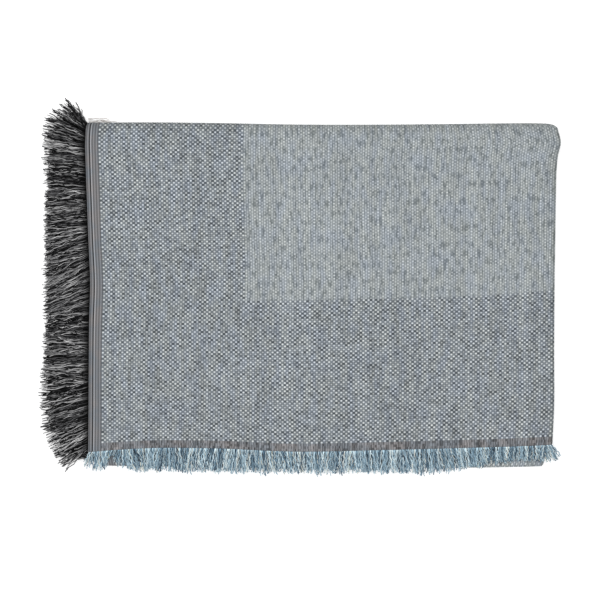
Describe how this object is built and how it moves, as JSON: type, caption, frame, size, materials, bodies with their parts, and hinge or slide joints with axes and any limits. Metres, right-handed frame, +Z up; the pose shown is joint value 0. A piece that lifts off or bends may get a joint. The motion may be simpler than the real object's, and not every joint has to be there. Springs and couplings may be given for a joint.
{
  "type": "folded woven throw blanket",
  "caption": "Coarse woven blue-grey throw, folded flat into a neat stack, with a charcoal fringe down its open side and a short blue fringe at its ends; a soft furnishing to lay on a surface.",
  "frame": {"origin": "middle of the underside of the whole folded throw, fringes included", "axes": "+Z up out of the stack, +X from the fringed open side towards the side fold, +Y from the fringed ends towards the back folds"},
  "size_m": [0.7806, 0.5526, 0.0224],
  "materials": {
    "cloth": "matte plain weave",
    "charcoal_yarn": "matte marled yarn",
    "blue_yarn": "matte yarn"
  },
  "bodies": {
    "root": {"woven_cloth": "cloth", "side_fringe_face": "charcoal_yarn", "side_fringe_back": "charcoal_yarn", "end_fringe_upper": "blue_yarn", "end_fringe_lower": "blue_yarn"}
  },
  "joints": []
}
